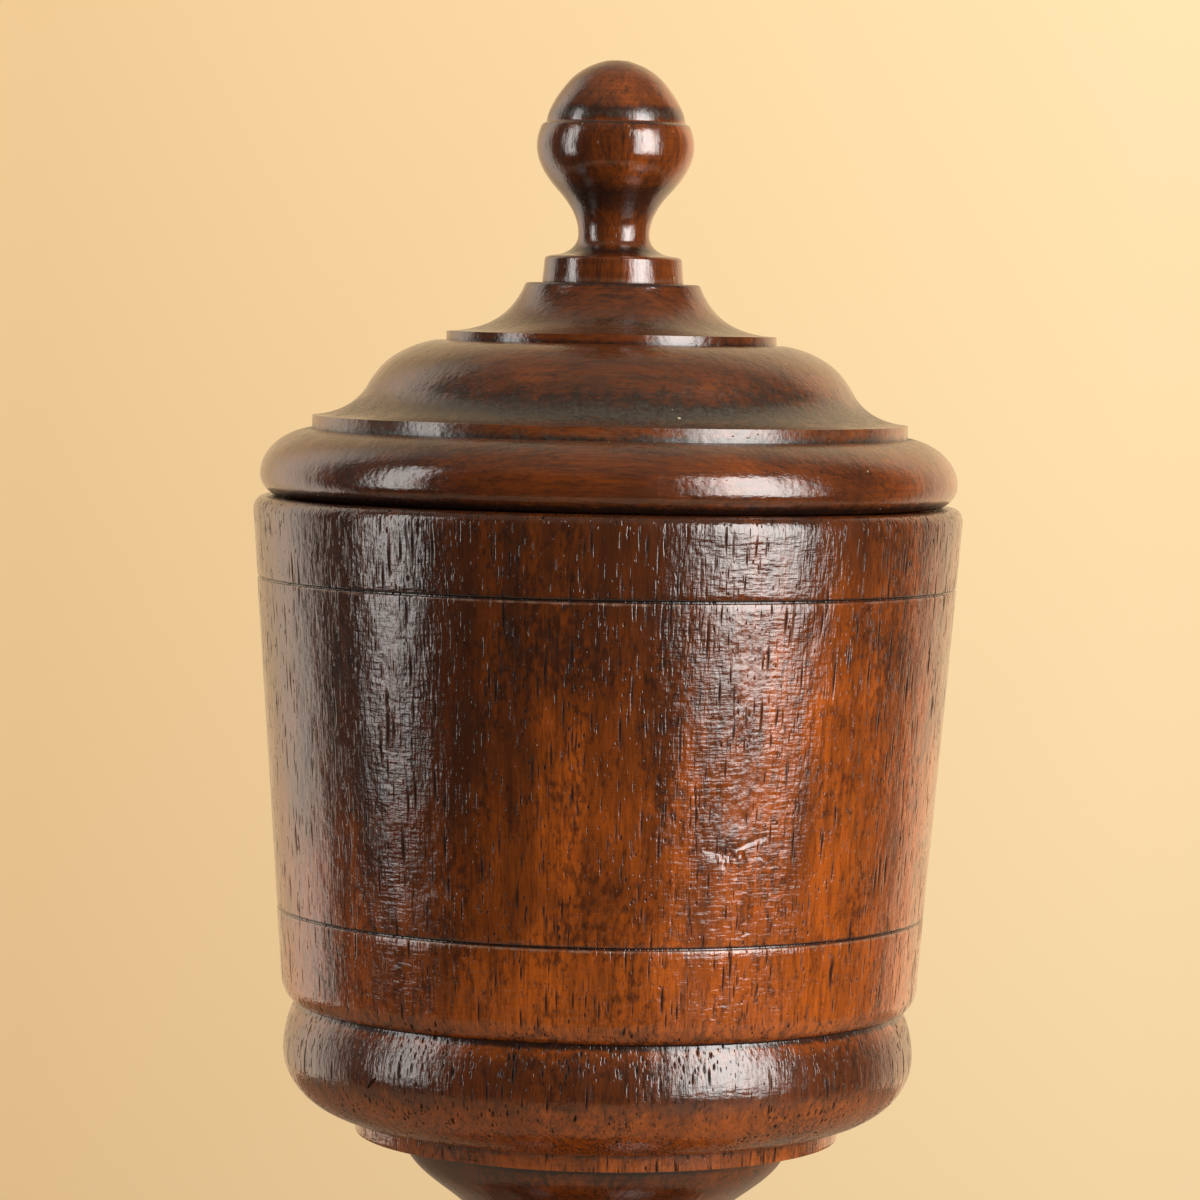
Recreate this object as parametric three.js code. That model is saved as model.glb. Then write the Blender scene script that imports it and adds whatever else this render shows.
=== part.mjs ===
// A turned wooden urn: a tapered bowl on a spreading foot, under a moulded lid with an acorn finial.
// Millimetres, +Z up, the origin at the centre of the underside.

import * as THREE from 'three';

// Heights of the joints and seats above the table.
const FOOT_HEIGHT = 94.1;
const RIM_HEIGHT = 242.6;
const FINIAL_SEAT = 293.2;
const TOTAL_HEIGHT = 345;

// Radii that the mouldings are drawn from.
const BASE_RADIUS = 63;
const WAIST_RADIUS = 20;
const CUP_RADIUS = 46.6;
const RING_RADIUS = 57.2;
const BELLY_RADIUS = 73.9;
const BOWL_FOOT_RADIUS = 74.6;
const BOWL_RADIUS = 82.8;
const LID_RADIUS = 81.4;
const LID_FILLET_RADIUS = 69.5;
const DOME_FILLET_RADIUS = 38.6;
const LID_TOP_RADIUS = 20.5;
const KNOB_RADIUS = 18.5;
const NECK_RADIUS = 8.4;
const COLLAR_RADIUS = 16.6;

// Walls, clearances and edges.
const WALL = 9.5;
const BOWL_FLOOR = 17.4;
const LID_FLANGE_DEPTH = 6.4;
const LID_FLANGE_WALL = 10.6;
const FLANGE_CLEARANCE = 0.7;
const LID_CROWN = 24.5;
const EDGE = 1;
const SCRIBE_DEPTH = 0.45;
const SCRIBE_WIDTH = 0.9;
const SCRIBED_LINES = [146.9, 223.7];

const LARGE_SIDES = 44;
const FOOT_SIDES = 36;
const FINIAL_SIDES = 24;

/** A turner's outline, drawn point by point in radius and height. Angles are in degrees from +r to +z. */
class Outline {
  constructor(r, z) {
    this.points = [new THREE.Vector2(r, z)];
  }

  /** A straight line to the point. */
  line(r, z) {
    this.points.push(new THREE.Vector2(r, z));
    return this;
  }

  /** A bend to the point, leaving and arriving in the given directions: an arc where they allow it. */
  bend(r, z, leave, arrive, steps) {
    const start = this.points.at(-1);
    const end = new THREE.Vector2(r, z);
    const turn = THREE.MathUtils.degToRad(arrive - leave);
    const share = Math.abs(turn) < 0.01 ? 1 / 3 : (2 / 3) * Math.tan(turn / 4) / Math.sin(turn / 2);
    const reach = start.distanceTo(end) * share;
    const curve = new THREE.CubicBezierCurve(
      start,
      start.clone().add(heading(leave).multiplyScalar(reach)),
      end.clone().sub(heading(arrive).multiplyScalar(reach)),
      end,
    );
    this.points.push(...curve.getPoints(steps).slice(1));
    return this;
  }

  /** Spins the outline about the Z axis. */
  turn(sides) {
    return new THREE.LatheGeometry(this.points, sides).rotateX(Math.PI / 2);
  }
}

function heading(degrees) {
  const angle = THREE.MathUtils.degToRad(degrees);
  return new THREE.Vector2(Math.cos(angle), Math.sin(angle));
}

/** The foot: a rounded base, a hollow rise to the waist with its bead, and the cup that holds the bowl. */
function footOutline() {
  const baseTop = 13;
  const beadFoot = 50;
  const beadTop = 57;
  const beadRadius = WAIST_RADIUS + 4;
  const cupBend = 79.8;
  return new Outline(0, 0)
    .line(BASE_RADIUS - 4, 0)
    .bend(BASE_RADIUS, 6, 20, 90, 3)
    .bend(BASE_RADIUS - 4, baseTop, 90, 170, 3)
    .line(BASE_RADIUS - 6, baseTop)
    .line(BASE_RADIUS - 6, baseTop + 3)
    .bend(WAIST_RADIUS + 1, beadFoot, 176, 96, 8)
    .line(WAIST_RADIUS + 2, beadFoot)
    .bend(beadRadius, (beadFoot + beadTop) / 2, 10, 90, 2)
    .bend(WAIST_RADIUS + 2, beadTop, 90, 170, 2)
    .line(WAIST_RADIUS, beadTop)
    .bend(34, cupBend, 86, 38, 5)
    .bend(CUP_RADIUS - 1, FOOT_HEIGHT - 2.1, 38, 74, 4)
    .line(CUP_RADIUS, FOOT_HEIGHT - 2.1)
    .line(CUP_RADIUS, FOOT_HEIGHT)
    .line(0, FOOT_HEIGHT);
}

/** The bowl: a ring and a belly moulding under straight tapered sides, hollow, with a flat rim. */
function bowlOutline() {
  const ringTop = FOOT_HEIGHT + 4.2;
  const bellyHeight = 113.5;
  const junction = 124.8;
  const floor = FOOT_HEIGHT + BOWL_FLOOR;
  const mouth = BOWL_RADIUS - WALL;
  const outline = new Outline(0, FOOT_HEIGHT)
    .line(RING_RADIUS - 0.4, FOOT_HEIGHT)
    .line(RING_RADIUS, ringTop)
    .line(RING_RADIUS + 1.6, ringTop - 0.2)
    .bend(BELLY_RADIUS, bellyHeight, 12, 90, 6)
    .bend(71.2, junction, 90, 116, 3)
    .bend(BOWL_FOOT_RADIUS, junction + 5.6, 18, 87, 3);
  for (const height of SCRIBED_LINES) {
    const radius = sideRadius(height);
    outline
      .line(radius, height - SCRIBE_WIDTH / 2)
      .line(radius - SCRIBE_DEPTH, height)
      .line(radius, height + SCRIBE_WIDTH / 2);
  }
  return outline
    .line(BOWL_RADIUS, RIM_HEIGHT - 3.6)
    .bend(BOWL_RADIUS - 2.4, RIM_HEIGHT, 88, 172, 3)
    .line(mouth + EDGE, RIM_HEIGHT)
    .line(mouth, RIM_HEIGHT - EDGE)
    .line(BOWL_FOOT_RADIUS - WALL, junction + 4)
    .bend(BOWL_FOOT_RADIUS - WALL - 16, floor, 268, 180, 5)
    .line(0, floor);
}

/** The bowl's outer radius at a height, on the straight taper between its foot and its rim. */
function sideRadius(height) {
  const low = 130.4;
  const share = (height - low) / (RIM_HEIGHT - 3.6 - low);
  return THREE.MathUtils.lerp(BOWL_FOOT_RADIUS, BOWL_RADIUS, share);
}

/** The lid: a flange inside the rim, a rounded edge, a cove, a dome and a hollow rise to the seat. */
function lidOutline() {
  const flange = BOWL_RADIUS - WALL - FLANGE_CLEARANCE;
  const flangeFoot = RIM_HEIGHT - LID_FLANGE_DEPTH;
  const hollow = flange - LID_FLANGE_WALL;
  const filletTop = 261.4;
  const domeFilletTop = 281.5;
  return new Outline(0, FINIAL_SEAT - LID_CROWN)
    .bend(hollow, RIM_HEIGHT + 3, 0, -80, 5)
    .line(hollow, flangeFoot)
    .line(flange - EDGE, flangeFoot)
    .line(flange, flangeFoot + EDGE)
    .line(flange, RIM_HEIGHT)
    .line(78, RIM_HEIGHT)
    .bend(LID_RADIUS, 247.5, 30, 90, 3)
    .bend(LID_FILLET_RADIUS + 1, 258.4, 90, 168, 6)
    .line(LID_FILLET_RADIUS, 257.9)
    .line(LID_FILLET_RADIUS, filletTop)
    .bend(57, 268, 176, 121, 4)
    .bend(50.4, 275.7, 119, 148, 3)
    .bend(DOME_FILLET_RADIUS + 2.2, 279.4, 148, 171, 3)
    .line(DOME_FILLET_RADIUS, 278.9)
    .line(DOME_FILLET_RADIUS, domeFilletTop)
    .bend(27.5, 284.2, 179, 150, 3)
    .bend(LID_TOP_RADIUS, FINIAL_SEAT - 0.4, 150, 112, 3)
    .line(LID_TOP_RADIUS - 0.5, FINIAL_SEAT)
    .line(0, FINIAL_SEAT);
}

/** The finial: a collar, a waisted neck, a knob and an acorn cap set back from it. */
function finialOutline() {
  const collarTop = 299.4;
  const neckHeight = 304.4;
  const knobHeight = 325;
  const capSeat = 330.4;
  const capRadius = 16.3;
  return new Outline(0, FINIAL_SEAT)
    .line(COLLAR_RADIUS, FINIAL_SEAT)
    .line(COLLAR_RADIUS - 0.5, collarTop - 0.5)
    .line(COLLAR_RADIUS - 1.1, collarTop)
    .line(13, collarTop + 0.4)
    .bend(NECK_RADIUS, neckHeight, 172, 90, 3)
    .bend(13.2, 314.4, 90, 47, 3)
    .bend(KNOB_RADIUS, knobHeight, 47, 90, 4)
    .bend(17.3, 329.9, 90, 116, 2)
    .line(capRadius, capSeat)
    .bend(11.4, 339.7, 99, 130, 3)
    .bend(2.6, TOTAL_HEIGHT - 0.2, 130, 166, 3)
    .line(0, TOTAL_HEIGHT);
}

/** One turned piece: its closed solid, under its own name and finish. */
function piece(name, outline, sides, color, roughness) {
  const material = new THREE.MeshStandardMaterial({ color, roughness, metalness: 0 });
  const mesh = new THREE.Mesh(outline.turn(sides), material);
  mesh.name = name;
  return mesh;
}

const urn = new THREE.Group();
urn.add(
  piece('foot', footOutline(), FOOT_SIDES, '#5a2410', 0.3),
  piece('bowl', bowlOutline(), LARGE_SIDES, '#6b2a10', 0.28),
  piece('lid', lidOutline(), LARGE_SIDES, '#4a1c0e', 0.26),
  piece('finial', finialOutline(), FINIAL_SIDES, '#521f0e', 0.24),
);

export default urn;
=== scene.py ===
"""The looks of a turned wooden urn with a lift-off lid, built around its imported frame."""

import logging
import math
from collections.abc import Sequence
from dataclasses import asdict, dataclass, field
from enum import Enum
import bpy
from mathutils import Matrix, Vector


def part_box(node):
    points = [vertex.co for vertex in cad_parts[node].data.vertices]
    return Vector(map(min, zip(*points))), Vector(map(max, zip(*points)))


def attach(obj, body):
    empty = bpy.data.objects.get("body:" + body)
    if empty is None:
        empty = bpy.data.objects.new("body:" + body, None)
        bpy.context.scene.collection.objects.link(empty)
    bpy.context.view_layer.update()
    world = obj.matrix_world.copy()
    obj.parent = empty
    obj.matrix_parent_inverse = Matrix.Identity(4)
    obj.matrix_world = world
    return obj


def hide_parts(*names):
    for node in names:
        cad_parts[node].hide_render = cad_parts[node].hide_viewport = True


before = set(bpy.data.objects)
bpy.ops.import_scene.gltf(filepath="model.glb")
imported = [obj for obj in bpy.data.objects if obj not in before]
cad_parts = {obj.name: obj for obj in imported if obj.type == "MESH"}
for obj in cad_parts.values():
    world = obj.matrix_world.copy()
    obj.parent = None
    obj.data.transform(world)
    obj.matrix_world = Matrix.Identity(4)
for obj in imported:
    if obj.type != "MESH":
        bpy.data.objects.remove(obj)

MM = 0.001
BODY = "root"
DOUBLINGS = 4  # A spun slice is doubled this often, so that the seams meet exactly.
MERGE_GAP = 0.004 * MM
SEATING = 0.45 * MM  # How far a piece is let into the next one, so that no gap shows.
SMOOTH_ANGLE = math.radians(32)

Triple = tuple[float, float, float]
Colour = Triple
Socket = bpy.types.NodeSocket
log = logging.getLogger("urn")


def mm(*lengths: float) -> tuple[float, ...]:
    """Gives lengths in mm as metres."""
    return tuple(length * MM for length in lengths)


class Grain(Enum):
    """Which way the wood's fibres run in a piece."""

    UPRIGHT = "upright"
    FLAT = "flat"


# ---------------------------------------------------------------- outlines


def heading(degrees: float) -> Vector:
    """Gives the unit step in (radius, height) for a direction, from outward towards upward."""
    angle = math.radians(degrees)
    return Vector((math.cos(angle), math.sin(angle)))


@dataclass
class Outline:
    """A turner's outline, drawn point by point in (radius, height), in metres."""

    radius: float
    height: float
    pitch: float = 0.6 * MM
    points: list[Vector] = field(init=False)

    def __post_init__(self) -> None:
        """Starts the outline at its first point."""
        self.points = [Vector((self.radius, self.height))]

    def line(self, radius: float, height: float, pitch: float = 1.6 * MM) -> "Outline":
        """Draws a straight line.

        Args:
            radius: Radius of its end.
            height: Height of its end.
            pitch: Longest run between two points on it.

        Returns:
            The outline itself, so that calls follow one another.
        """
        start, end = self.points[-1], Vector((radius, height))
        steps = max(1, math.ceil((end - start).length / pitch))
        self.points += [start.lerp(end, step / steps) for step in range(1, steps + 1)]
        return self

    def bend(self, radius: float, height: float, leave: float, arrive: float) -> "Outline":
        """Draws a bend that is an arc where its two directions allow.

        Args:
            radius: Radius of its end.
            height: Height of its end.
            leave: Direction in which it sets off, in degrees.
            arrive: Direction in which it arrives, in degrees.

        Returns:
            The outline itself.
        """
        start, end = self.points[-1], Vector((radius, height))
        turn = math.radians(arrive - leave)
        straight = abs(turn) < 0.01
        share = 1 / 3 if straight else (2 / 3) * math.tan(turn / 4) / math.sin(turn / 2)
        reach = (end - start).length * share
        first = start + heading(leave) * reach
        second = end - heading(arrive) * reach
        steps = max(3, math.ceil((end - start).length / self.pitch))
        for step in range(1, steps + 1):
            t = step / steps
            s = 1 - t
            self.points.append(
                start * s**3 + first * (3 * s * s * t) + second * (3 * s * t * t) + end * t**3
            )
        return self

    def scribe(self, radius: float, height: float, width: float, depth: float) -> "Outline":
        """Draws a straight run to a scribed line, rounds its worn lower lip and cuts its V.

        Args:
            radius: Radius of the side at the line.
            height: Height of the line's middle.
            width: Width of the cut.
            depth: Depth of the cut.

        Returns:
            The outline itself.
        """
        self.line(radius, height - width)
        self.bend(radius - depth, height, 88, 158)
        return self.line(radius, height + width * 0.35)

    def ease(self, corner: float = 24.0, cut: float = 0.28 * MM) -> "Outline":
        """Rounds every corner sharper than an angle, as sanding and handling do.

        Args:
            corner: The smallest turn that is rounded, in degrees.
            cut: How far the rounding reaches along each side.

        Returns:
            The outline itself.
        """
        eased = [self.points[0]]
        for before, point, after in zip(self.points, self.points[1:], self.points[2:]):
            back, on = before - point, after - point
            turn = math.degrees(math.pi - back.angle(on, math.pi))
            if turn < corner:
                eased.append(point)
                continue
            first = point + back.normalized() * min(cut, back.length * 0.45)
            last = point + on.normalized() * min(cut, on.length * 0.45)
            eased += [first, (first + last + point * 2) / 4, last]
        self.points = [*eased, self.points[-1]]
        return self

    def turn(self, name: str, sides: int) -> bpy.types.Object:
        """Extrudes the outline edge by edge and spins it round the axis.

        Args:
            name: Name of the piece.
            sides: Number of steps in the full turn.

        Returns:
            The closed mesh object, at the origin.
        """
        bpy.ops.object.select_all(action="DESELECT")
        places = [Vector((point.x, 0.0, point.y)) for point in self.points]
        bpy.ops.mesh.primitive_plane_add(size=MM)
        piece = bpy.context.object
        piece.name = piece.data.name = name
        bpy.ops.object.mode_set(mode="EDIT")
        bpy.ops.mesh.merge(type="CENTER")
        bpy.ops.transform.translate(value=places[0])
        for here, there in zip(places, places[1:]):
            bpy.ops.mesh.extrude_region_move(TRANSFORM_OT_translate={"value": there - here})
        bpy.ops.mesh.select_all(action="SELECT")
        slice_angle = math.tau / 2**DOUBLINGS
        bpy.ops.mesh.spin(
            steps=sides // 2**DOUBLINGS, angle=slice_angle, center=(0, 0, 0), axis=(0, 0, 1)
        )
        for doubling in range(DOUBLINGS):
            bpy.ops.mesh.select_all(action="SELECT")
            bpy.ops.mesh.duplicate()
            bpy.ops.transform.rotate(
                value=slice_angle * 2**doubling, orient_axis="Z", center_override=(0, 0, 0)
            )
        bpy.ops.mesh.select_all(action="SELECT")
        bpy.ops.mesh.remove_doubles(threshold=MERGE_GAP)
        bpy.ops.mesh.normals_make_consistent(inside=False)
        bpy.ops.object.mode_set(mode="OBJECT")
        return piece


# ---------------------------------------------------------------- node graphs


class Graph:
    """Places and joins the nodes of one tree."""

    def __init__(self, tree: bpy.types.NodeTree) -> None:
        """Starts work on a tree."""
        self.tree = tree

    def put(self, kind: str, inputs: dict | None = None, **settings: object) -> bpy.types.Node:
        """Adds a node.

        Args:
            kind: The node's type name, without its ShaderNode prefix.
            inputs: Values or sockets for its inputs, by name or index.
            settings: Values for the node's own properties.

        Returns:
            The node.
        """
        node = self.tree.nodes.new(kind if kind.startswith("Node") else "ShaderNode" + kind)
        for key, value in settings.items():
            setattr(node, key, value)
        for key, value in (inputs or {}).items():
            self.feed(node.inputs[key], value)
        return node

    def feed(self, socket: Socket, value: object) -> None:
        """Joins a socket to another one, or gives it a plain value."""
        if isinstance(value, Socket):
            self.tree.links.new(value, socket)
        else:
            socket.default_value = value

    def math(self, operation: str, *values: object, clamp: bool = False) -> Socket:
        """Adds a Math node and gives its result."""
        inputs = dict(enumerate(values))
        return self.put("Math", inputs, operation=operation, use_clamp=clamp).outputs[0]

    def times(self, first: object, second: object) -> Socket:
        """Multiplies two values."""
        return self.math("MULTIPLY", first, second)

    def vector(self, operation: str, *values: object) -> Socket:
        """Adds a Vector Math node and gives its vector, or its value for a length."""
        node = self.put("VectorMath", dict(enumerate(values)), operation=operation)
        return node.outputs["Value" if operation in ("LENGTH", "DISTANCE") else "Vector"]

    def noise(self, vector: object, scale: float, detail: float = 2.0, **inputs: float) -> Socket:
        """Adds a Noise Texture and gives its value."""
        values = {"Vector": vector, "Scale": scale, "Detail": detail, **inputs}
        return self.put("TexNoise", values).outputs[0]

    def stretched(self, vector: object, pitch: Triple, detail: float = 2.0, **inputs: float) -> Socket:
        """Adds a Noise Texture with its own pitch along each axis, and gives its value."""
        return self.noise(self.vector("MULTIPLY", vector, pitch), 1.0, detail, **inputs)

    def rise(self, value: object, low: float, high: float) -> Socket:
        """Gives 0 below low, 1 above high, and a smooth step between them."""
        inputs = {"Value": value, "From Min": low, "From Max": high}
        return self.put("MapRange", inputs, interpolation_type="SMOOTHSTEP").outputs[0]

    def blend(self, factor: object, first: object, second: object) -> Socket:
        """Mixes two colours by a factor."""
        inputs = {0: factor, 6: rgba(first), 7: rgba(second)}
        return self.put("Mix", inputs, data_type="RGBA", clamp_factor=True).outputs[2]

    def group(self, tree: bpy.types.NodeTree, inputs: dict) -> bpy.types.Node:
        """Places a shared group with its own values."""
        node = self.put("Group", node_tree=tree)
        for key, value in inputs.items():
            self.feed(node.inputs[key], value)
        return node


def sockets(values: object) -> dict[str, object]:
    """Gives a dataclass's values by the names of the group sockets that take them."""
    return {name.title(): value for name, value in asdict(values).items()}


def rgba(colour: object) -> object:
    """Gives a three-part colour its alpha, and leaves a socket as it is."""
    return (*colour, 1.0) if isinstance(colour, tuple) and len(colour) == 3 else colour


class SharedGroup:
    """A shader node group that several finishes use, built once."""

    name = "shared"
    inputs: dict[str, tuple[str, object]] = {}
    outputs: tuple[str, ...] = ()

    @classmethod
    def tree(cls) -> bpy.types.NodeTree:
        """Gives the group's tree, building it the first time.

        Returns:
            The node tree.
        """
        if cls.name in bpy.data.node_groups:
            return bpy.data.node_groups[cls.name]
        tree = bpy.data.node_groups.new(cls.name, "ShaderNodeTree")
        for name, (kind, value) in cls.inputs.items():
            socket = tree.interface.new_socket(name, in_out="INPUT", socket_type="NodeSocket" + kind)
            if value is not None:
                socket.default_value = value
        for name in cls.outputs:
            tree.interface.new_socket(name, in_out="OUTPUT", socket_type="NodeSocketFloat")
        graph = Graph(tree)
        source = graph.put("NodeGroupInput").outputs
        results = cls.fill(graph, source)
        graph.put("NodeGroupOutput", dict(zip(cls.outputs, results)))
        return tree

    @classmethod
    def fill(cls, graph: Graph, source: object) -> Sequence[Socket]:
        """Builds the inside and gives its results in order."""
        raise NotImplementedError


class WoodFigure(SharedGroup):
    """Bands, streaks, threads and blotches along the grain, and lines cut round the work.

    Each pitch is in cycles to the mm, the last along the fibres or, for the cuts, the axis.
    """

    name = "wood_figure"
    inputs = {"Along": ("Vector", None), "Place": ("Vector", None)}
    outputs = ("Bands", "Streaks", "Threads", "Blotches", "Lines")
    band_pitch = (0.11, 0.11, 0.012)
    streak_pitch = (0.55, 0.55, 0.06)
    thread_pitch = (2.2, 2.2, 0.2)
    patch_pitch = (0.07, 0.07, 0.045)
    blot_pitch = (0.75, 0.75, 0.4)
    cut_pitch = (0.03, 0.03, 1.5)

    @classmethod
    def fill(cls, graph: Graph, source: object) -> Sequence[Socket]:
        """Builds the inside and gives its results in order."""
        along = source["Along"]
        band = graph.stretched(along, cls.band_pitch, 3.0, Distortion=0.4)
        streak = graph.stretched(along, cls.streak_pitch, 4.0, Roughness=0.6, Distortion=0.3)
        thread = graph.stretched(along, cls.thread_pitch, 3.0, Roughness=0.6)
        patch = graph.stretched(along, cls.patch_pitch, 3.0)
        blot = graph.stretched(along, cls.blot_pitch, 3.0, Roughness=0.6)
        cut = graph.stretched(source["Place"], cls.cut_pitch, 3.0)
        return (
            graph.rise(band, 0.3, 0.72),
            graph.rise(streak, 0.42, 0.68),
            graph.rise(thread, 0.4, 0.7),
            graph.rise(graph.math("MULTIPLY_ADD", patch, 0.7, blot), 0.85, 1.07),
            graph.rise(cut, 0.45, 0.68),
        )


class OpenPores(SharedGroup):
    """Open pores: short fine ticks along the grain. Along is in mm, its Z the fibres."""

    name = "open_pores"
    inputs = {
        "Along": ("Vector", None),
        "Width": ("Float", 0.62),
        "Length": ("Float", 4.2),
        "Fullness": ("Float", 0.3),
    }
    outputs = ("Mask", "Core")
    sway_pitch = (0.3, 0.3, 0.07)
    sway_reach = (0.8, 0.8, 0.0)
    crowd_pitch = (0.16, 0.16, 0.06)
    least_reach = 0.001

    @classmethod
    def fill(cls, graph: Graph, source: object) -> Sequence[Socket]:
        """Builds the inside and gives its results in order."""
        along = source["Along"]
        cell = graph.put("CombineXYZ", {0: source["Width"], 1: source["Width"], 2: source["Length"]})
        place = graph.vector("DIVIDE", along, cell.outputs[0])
        drift = graph.vector("MULTIPLY", along, cls.sway_pitch)
        sway = graph.put("TexNoise", {"Vector": drift, "Scale": 1.0}).outputs["Color"]
        place = graph.vector("ADD", place, graph.vector("MULTIPLY", sway, cls.sway_reach))
        cells = graph.put("TexVoronoi", {"Vector": place, "Scale": 1.0, "Randomness": 1.0})
        crowd = graph.stretched(along, cls.crowd_pitch, 3.0)
        lot = graph.put("SeparateXYZ", {0: cells.outputs["Color"]}).outputs[0]
        reach = graph.times(graph.rise(crowd, 0.1, 0.7), graph.math("ADD", lot, 0.4))
        reach = graph.times(reach, source["Fullness"])
        reach = graph.math("MAXIMUM", reach, cls.least_reach)
        inner = graph.math("SUBTRACT", 1.0, graph.math("DIVIDE", cells.outputs["Distance"], reach))
        return graph.rise(inner, 0.0, 0.6), graph.rise(inner, 0.2, 0.7)


class TurningMarks(SharedGroup):
    """The skin of old polish over turned wood, as a height in mm: ripples round it, fibres and lumps."""

    name = "turning_marks"
    inputs = {
        "Place": ("Vector", None),
        "Along": ("Vector", None),
        "Ripple": ("Float", 0.01),
        "Fibre": ("Float", 0.01),
        "Lump": ("Float", 0.02),
    }
    outputs = ("Height",)
    ring_pitch = (0.24, 0.24, 1.25)
    weight_pitch = (0.08, 0.08, 0.06)
    fibre_pitch = (1.35, 1.35, 0.2)
    swell_pitch = (0.2, 0.2, 0.13)
    lump_pitch = 0.75
    swell_gain = 3.2

    @classmethod
    def fill(cls, graph: Graph, source: object) -> Sequence[Socket]:
        """Builds the inside and gives its results in order."""
        place = source["Place"]
        ring = graph.stretched(place, cls.ring_pitch)
        weight = graph.stretched(place, cls.weight_pitch)
        ring = graph.times(ring, graph.rise(weight, 0.2, 0.6))
        fibre = graph.stretched(source["Along"], cls.fibre_pitch)
        lump = graph.noise(place, cls.lump_pitch, 3.0, Roughness=0.45)
        swell = graph.stretched(place, cls.swell_pitch)
        lump = graph.math("MULTIPLY_ADD", swell, cls.swell_gain, lump)
        height = graph.times(ring, source["Ripple"])
        height = graph.math("MULTIPLY_ADD", fibre, source["Fibre"], height)
        return (graph.math("MULTIPLY_ADD", lump, source["Lump"], height),)


class RingShade(SharedGroup):
    """A soft ring round the axis: dirt in a quirk, a broad band of painted shade, dust with a painted
    sheen, or a painted highlight along a lip. In mm.
    """

    name = "ring_shade"
    inputs = {
        "Place": ("Vector", None),
        "Radius": ("Float", 50.0),
        "Height": ("Float", 0.0),
        "Spread": ("Float", 2.0),
        "Strength": ("Float", 1.0),
        "Ragged": ("Float", 0.5),
    }
    outputs = ("Mask",)

    @classmethod
    def fill(cls, graph: Graph, source: object) -> Sequence[Socket]:
        """Builds the inside and gives its results in order."""
        place = source["Place"]
        flat = graph.vector("LENGTH", graph.vector("MULTIPLY", place, (1.0, 1.0, 0.0)))
        level = graph.put("SeparateXYZ", {0: place}).outputs[2]
        out = graph.math("SUBTRACT", flat, source["Radius"])
        up = graph.math("SUBTRACT", level, source["Height"])
        away = graph.math("SQRT", graph.math("MULTIPLY_ADD", out, out, graph.times(up, up)))
        away = graph.math("DIVIDE", away, source["Spread"])
        rough = graph.noise(place, 0.35, 4.0, Roughness=0.65)
        rough = graph.times(graph.math("SUBTRACT", rough, 0.5), source["Ragged"])
        near = graph.math("SUBTRACT", graph.math("MULTIPLY_ADD", rough, 3.0, 1.0), away)
        return (graph.times(graph.rise(near, -0.1, 0.75), source["Strength"]),)


class Fleck(SharedGroup):
    """One small ragged spot at a place, in mm."""

    name = "fleck"
    inputs = {
        "Place": ("Vector", None),
        "Centre": ("Vector", None),
        "Size": ("Float", 1.0),
    }
    outputs = ("Mask",)

    @classmethod
    def fill(cls, graph: Graph, source: object) -> Sequence[Socket]:
        """Builds the inside and gives its results in order."""
        away = graph.vector("DISTANCE", source["Place"], source["Centre"])
        away = graph.math("DIVIDE", away, source["Size"])
        rough = graph.noise(source["Place"], 1.4, 3.0, Roughness=0.7)
        near = graph.math("SUBTRACT", graph.math("MULTIPLY_ADD", rough, 1.6, 0.2), away)
        return (graph.rise(near, -0.1, 0.25),)


class DustSpecks(SharedGroup):
    """Scattered grains of pale dust. In mm."""

    name = "dust_specks"
    inputs = {
        "Place": ("Vector", None),
        "Spacing": ("Float", 4.0),
        "Size": ("Float", 0.2),
    }
    outputs = ("Mask",)

    @classmethod
    def fill(cls, graph: Graph, source: object) -> Sequence[Socket]:
        """Builds the inside and gives its results in order."""
        place = graph.vector("DIVIDE", source["Place"], source["Spacing"])
        cells = graph.put("TexVoronoi", {"Vector": place, "Scale": 1.0, "Randomness": 1.0})
        lot = graph.put("SeparateXYZ", {0: cells.outputs["Color"]}).outputs[0]
        away = graph.times(cells.outputs["Distance"], source["Spacing"])
        reach = graph.times(graph.math("POWER", lot, 2.0), source["Size"])
        inner = graph.math("SUBTRACT", graph.times(reach, 2.0), away)
        return (graph.rise(inner, -0.08, 0.08),)


# ---------------------------------------------------------------- finishes


@dataclass(frozen=True)
class Ring:
    """A band round a piece, in mm: dirt, painted shade, dust with a painted sheen, or a painted
    highlight.
    """

    radius: float
    height: float
    spread: float
    strength: float = 1.0
    ragged: float = 0.5


@dataclass(frozen=True)
class Pores:
    """A layer of open pores: the cell that each stands in, in mm, and how much of it a pore fills."""

    width: float
    length: float
    fullness: float


@dataclass(frozen=True)
class Spot:
    """A pale fleck on a piece: its place in mm, and its size."""

    centre: Triple
    size: float


@dataclass(frozen=True)
class Skin:
    """A material in the making: its graph, the places on the piece in mm, and its masks."""

    graph: Graph
    place: Socket
    along: Socket
    hollows: object
    cores: object
    dirt: object
    grit: object


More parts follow.
